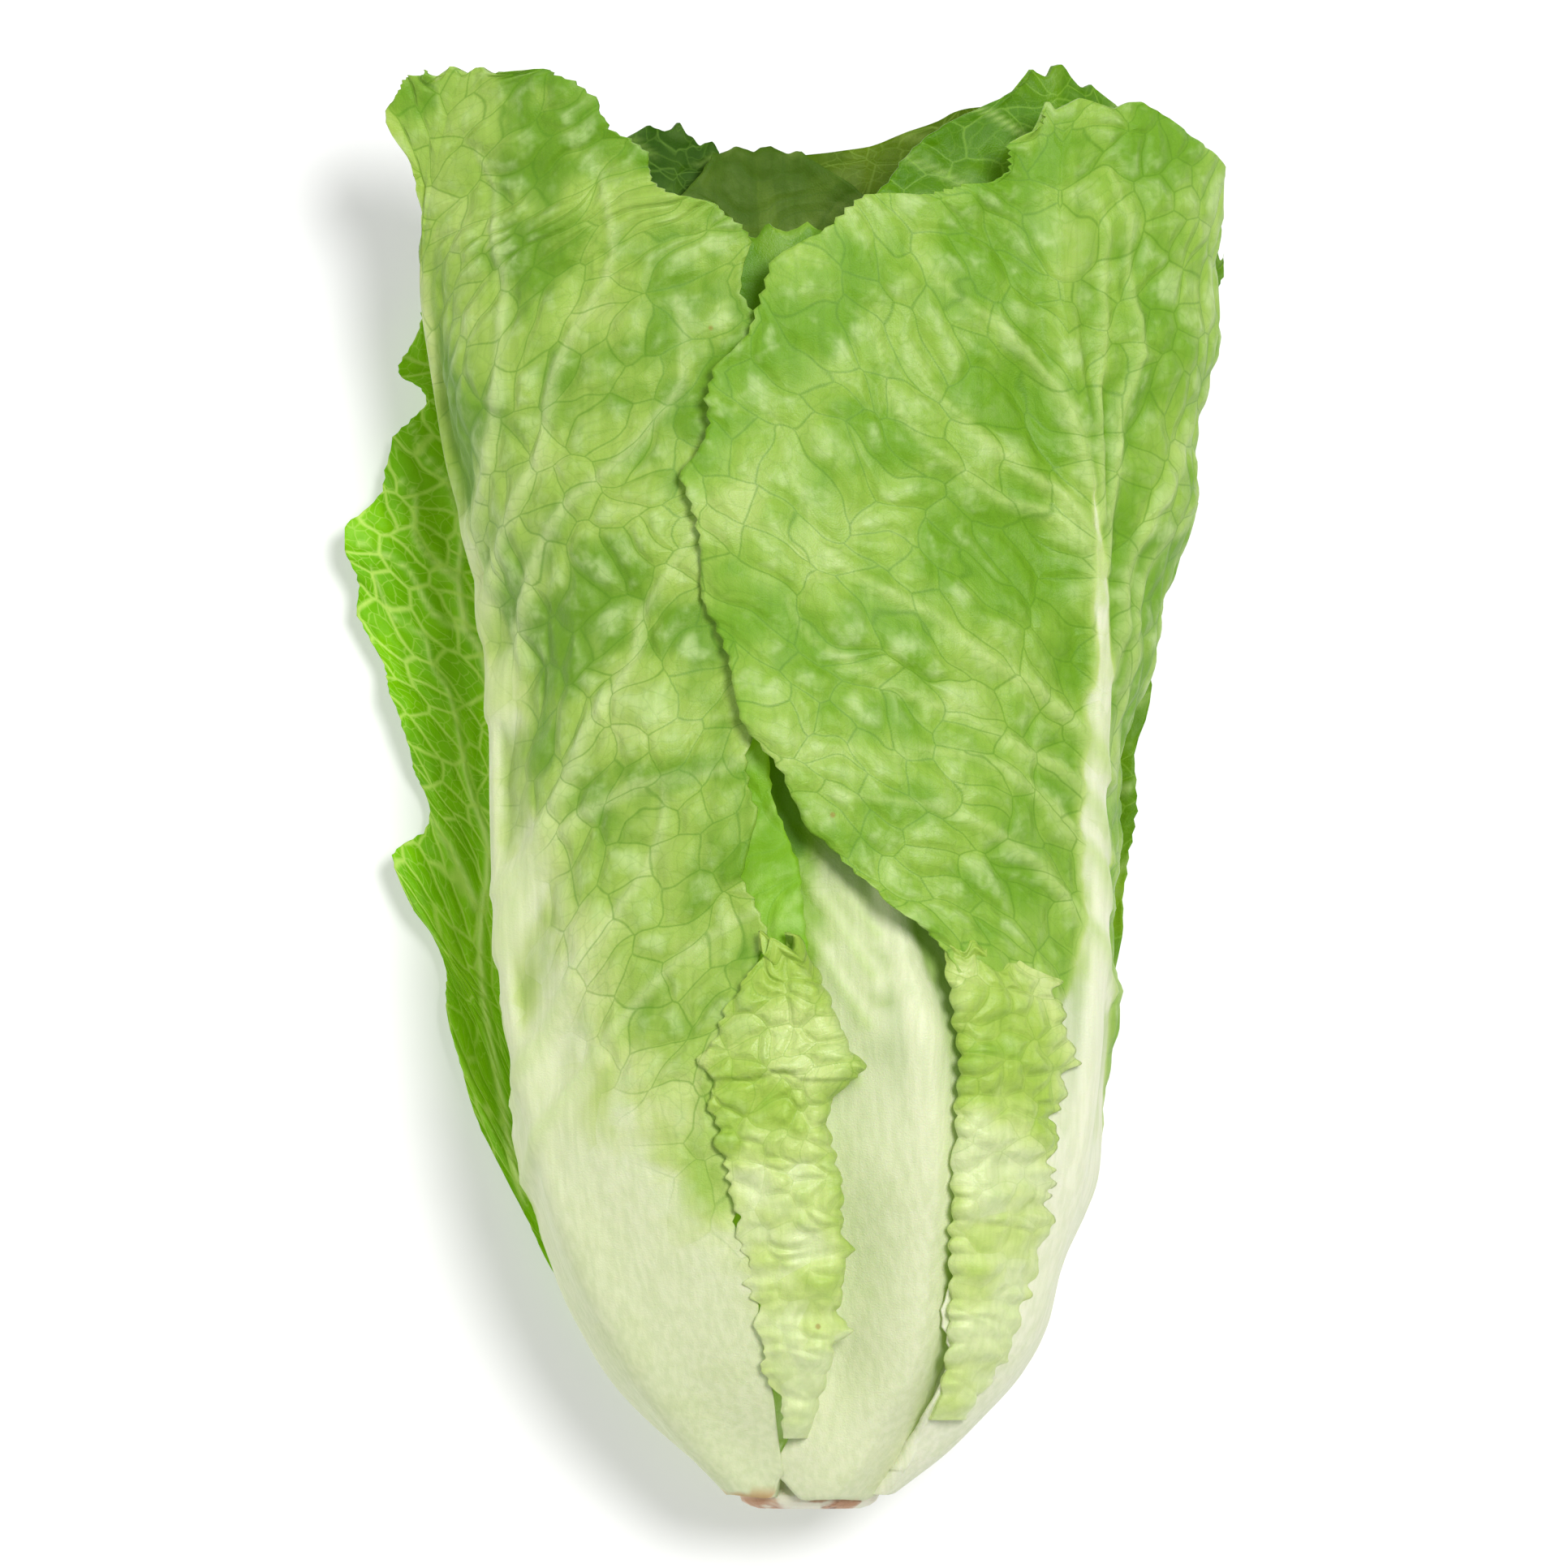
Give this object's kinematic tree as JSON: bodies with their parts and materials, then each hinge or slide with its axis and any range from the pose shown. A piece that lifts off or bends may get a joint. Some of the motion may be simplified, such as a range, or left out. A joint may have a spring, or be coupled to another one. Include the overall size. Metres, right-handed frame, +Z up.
{
  "type": "romaine lettuce heart",
  "caption": "Romaine heart lying down: long quilted green leaves with thick white ribs wrapped round a short cut stem, open at the tips.",
  "frame": {"origin": "on the surface that the head lies on, below the middle of its length", "axes": "+Y from the cut butt to the leaf tips, +Z up from the surface, +X to the right seen from above"},
  "size_m": [0.147, 0.2403, 0.0868],
  "materials": {
    "stem_flesh": "moist cut flesh, cream with tan patches at the cut",
    "leaf_front_left": "satin waxy leaf, pale green underside with a white-green midrib",
    "leaf_front_right": "satin waxy leaf, pale green underside with a white-green midrib",
    "leaf_centre": "smooth white-green rib with a thin pale blade",
    "leaf_inner_left": "crinkled yellow-green leaf",
    "leaf_second_right": "satin waxy leaf, bright green",
    "leaf_back_left": "satin saturated green leaf with pale net veins",
    "leaf_back_right": "satin green leaf",
    "leaf_rear_left": "dark green leaf with pale veins",
    "leaf_rear_right": "olive green leaf with a yellowish margin",
    "leaf_rear_centre": "dull dark green leaf",
    "leaf_heart_left": "pale yellow-green heart leaf",
    "leaf_heart_right": "pale yellow-green heart leaf"
  },
  "bodies": {
    "root": {"stem": "stem_flesh", "leaf_front_left": "leaf_front_left", "leaf_front_right": "leaf_front_right", "leaf_centre": "leaf_centre", "leaf_inner_left": "leaf_inner_left", "leaf_second_right": "leaf_second_right", "leaf_back_left": "leaf_back_left", "leaf_back_right": "leaf_back_right", "leaf_rear_left": "leaf_rear_left", "leaf_rear_right": "leaf_rear_right", "leaf_rear_centre": "leaf_rear_centre", "leaf_heart_left": "leaf_heart_left", "leaf_heart_right": "leaf_heart_right"}
  },
  "joints": []
}
